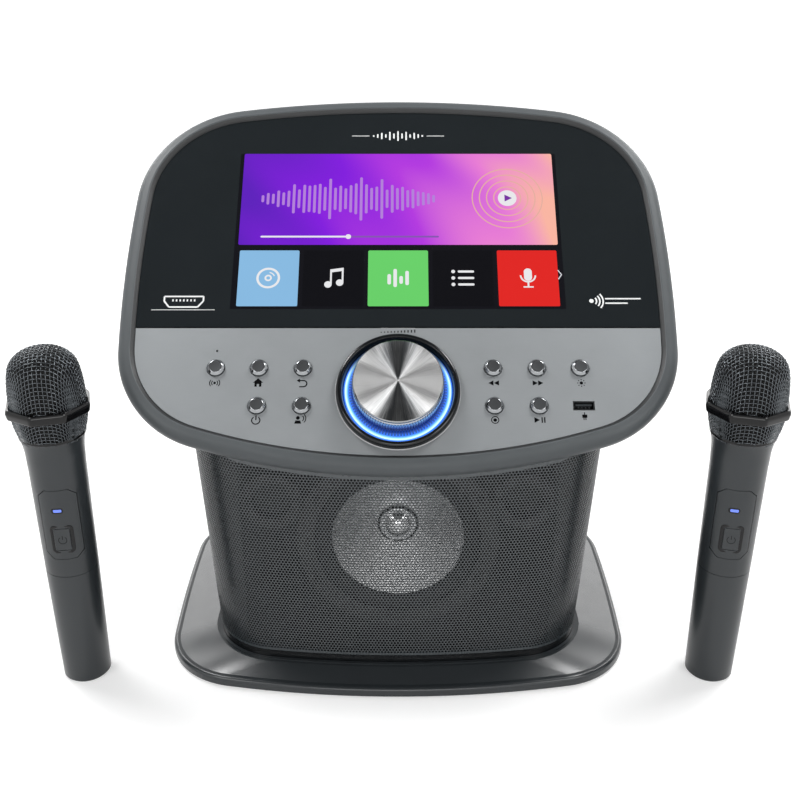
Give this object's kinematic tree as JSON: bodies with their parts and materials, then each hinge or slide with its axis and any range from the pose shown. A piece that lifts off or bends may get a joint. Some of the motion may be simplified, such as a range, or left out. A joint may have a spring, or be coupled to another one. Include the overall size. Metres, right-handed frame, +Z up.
{
  "type": "karaoke machine",
  "caption": "Karaoke machine: a sloped touch screen and control panel with a lit volume knob on a tapering perforated loudspeaker column with a broad foot, and handheld wireless microphones.",
  "frame": {"origin": "on the table, at the middle of the whole set seen from above", "axes": "-Y is the front, where the singer stands; +X is towards the microphone on the right of the picture; +Z is up"},
  "size_m": [0.4812, 0.2426, 0.3521],
  "materials": {
    "base": "satin",
    "shell": "satin",
    "hidden_plastic": "matte",
    "rubber": "matte",
    "grille": "satin",
    "gloss_black": "gloss",
    "bezel": "satin",
    "display_glass": "polished",
    "display": "backlit",
    "plate": "brushed satin",
    "keys": "bright edge, satin face",
    "light": "lit from within",
    "knob": "gloss",
    "knob_cap": "radially brushed",
    "board": "matte",
    "steel": "plated",
    "shaft_steel": "ground",
    "magnet": "matte",
    "cone": "silver lacquer",
    "basket": "satin",
    "dome": "coated silk",
    "mic_grip": "satin",
    "mic_plate": "gloss",
    "mic_key": "satin",
    "mic_mesh": "painted woven wire",
    "mic_ring": "satin"
  },
  "bodies": {
    "machine": {"base_plate": "base", "base_bottom_cover": "hidden_plastic", "base_feet": "rubber", "cabinet_shell": "shell", "grille_trim": "gloss_black", "front_grille": "grille", "rear_panel": "shell", "bass_port": "shell", "main_board": "board", "power_jack": "steel", "hdmi_socket": "steel", "audio_jacks": "steel", "amplifier_board": "board", "speaker_baffle": "hidden_plastic", "woofer_basket": "basket", "woofer_magnet": "magnet", "woofer_surround": "rubber", "tweeter_frames": "basket", "tweeter_domes": "dome", "speaker_screws": "steel", "head_bezel": "bezel", "head_back_shell": "shell", "screen_lens": "display_glass", "lcd_module": "display", "control_plate": "plate", "key_board": "board", "tact_switches": "steel", "usb_socket": "steel", "knob_ring": "gloss_black", "light_ring": "light", "encoder_body": "hidden_plastic", "case_screws": "steel"},
    "woofer_cone": {"woofer_cone": "cone"},
    "knob_shaft": {"encoder_plunger": "shaft_steel"},
    "volume_knob": {"volume_knob": "knob", "knob_cap": "knob_cap"},
    "pairing_key": {"button_pairing": "keys"},
    "home_key": {"button_home": "keys"},
    "back_key": {"button_back": "keys"},
    "power_key": {"button_power": "keys"},
    "voice_key": {"button_voice": "keys"},
    "rewind_key": {"button_rewind": "keys"},
    "forward_key": {"button_forward": "keys"},
    "light_key": {"button_light": "keys"},
    "record_key": {"button_record": "keys"},
    "play_key": {"button_play": "keys"},
    "left_microphone": {"mic_left_sleeve": "mic_grip", "mic_left_handle": "mic_grip", "mic_left_switch_plate": "mic_plate", "mic_left_mesh": "mic_mesh", "mic_left_ring": "mic_ring", "mic_left_capsule": "hidden_plastic"},
    "left_microphone_key": {"mic_left_button": "mic_key"},
    "right_microphone": {"mic_right_sleeve": "mic_grip", "mic_right_handle": "mic_grip", "mic_right_switch_plate": "mic_plate", "mic_right_mesh": "mic_mesh", "mic_right_ring": "mic_ring", "mic_right_capsule": "hidden_plastic"},
    "right_microphone_key": {"mic_right_button": "mic_key"}
  },
  "joints": [
    {"name": "pairing_press", "type": "slide", "parent": "machine", "child": "pairing_key", "axis": [0, 0.6717, -0.7408], "range_m": [0, 0.0008], "stiffness_N_per_m": 400, "springref_m": -0.0005},
    {"name": "home_press", "type": "slide", "parent": "machine", "child": "home_key", "axis": [0, 0.6717, -0.7408], "range_m": [0, 0.0008], "stiffness_N_per_m": 400, "springref_m": -0.0005},
    {"name": "back_press", "type": "slide", "parent": "machine", "child": "back_key", "axis": [0, 0.6717, -0.7408], "range_m": [0, 0.0008], "stiffness_N_per_m": 400, "springref_m": -0.0005},
    {"name": "power_press", "type": "slide", "parent": "machine", "child": "power_key", "axis": [0, 0.6717, -0.7408], "range_m": [0, 0.0008], "stiffness_N_per_m": 400, "springref_m": -0.0005},
    {"name": "voice_press", "type": "slide", "parent": "machine", "child": "voice_key", "axis": [0, 0.6717, -0.7408], "range_m": [0, 0.0008], "stiffness_N_per_m": 400, "springref_m": -0.0005},
    {"name": "rewind_press", "type": "slide", "parent": "machine", "child": "rewind_key", "axis": [0, 0.6717, -0.7408], "range_m": [0, 0.0008], "stiffness_N_per_m": 400, "springref_m": -0.0005},
    {"name": "forward_press", "type": "slide", "parent": "machine", "child": "forward_key", "axis": [0, 0.6717, -0.7408], "range_m": [0, 0.0008], "stiffness_N_per_m": 400, "springref_m": -0.0005},
    {"name": "light_press", "type": "slide", "parent": "machine", "child": "light_key", "axis": [0, 0.6717, -0.7408], "range_m": [0, 0.0008], "stiffness_N_per_m": 400, "springref_m": -0.0005},
    {"name": "record_press", "type": "slide", "parent": "machine", "child": "record_key", "axis": [0, 0.6717, -0.7408], "range_m": [0, 0.0008], "stiffness_N_per_m": 400, "springref_m": -0.0005},
    {"name": "play_press", "type": "slide", "parent": "machine", "child": "play_key", "axis": [0, 0.6717, -0.7408], "range_m": [0, 0.0008], "stiffness_N_per_m": 400, "springref_m": -0.0005},
    {"name": "knob_press", "type": "slide", "parent": "machine", "child": "knob_shaft", "axis": [0, 0.6717, -0.7408], "range_m": [0, 0.0005], "stiffness_N_per_m": 1200, "springref_m": -0.001},
    {"name": "knob_turn", "type": "hinge", "parent": "knob_shaft", "child": "volume_knob", "pos_m": [0, -0.06187, 0.19656], "axis": [0, 0.6717, -0.7408], "continuous": true},
    {"name": "cone_throw", "type": "slide", "parent": "machine", "child": "woofer_cone", "axis": [0, -1, 0], "range_m": [-0.002, 0.002], "stiffness_N_per_m": 2500, "deforming": ["woofer_surround"]},
    {"name": "left_microphone_lift", "type": "slide", "parent": "machine", "child": "left_microphone", "axis": [0, 0, 1], "range_m": [0, 0.25]},
    {"name": "left_microphone_press", "type": "slide", "parent": "left_microphone", "child": "left_microphone_key", "axis": [-0.1392, 0.9903, 0], "range_m": [0, 0.0008], "stiffness_N_per_m": 400},
    {"name": "right_microphone_lift", "type": "slide", "parent": "machine", "child": "right_microphone", "axis": [0, 0, 1], "range_m": [0, 0.25]},
    {"name": "right_microphone_press", "type": "slide", "parent": "right_microphone", "child": "right_microphone_key", "axis": [0.2147, 0.9767, 0], "range_m": [0, 0.0008], "stiffness_N_per_m": 400}
  ]
}
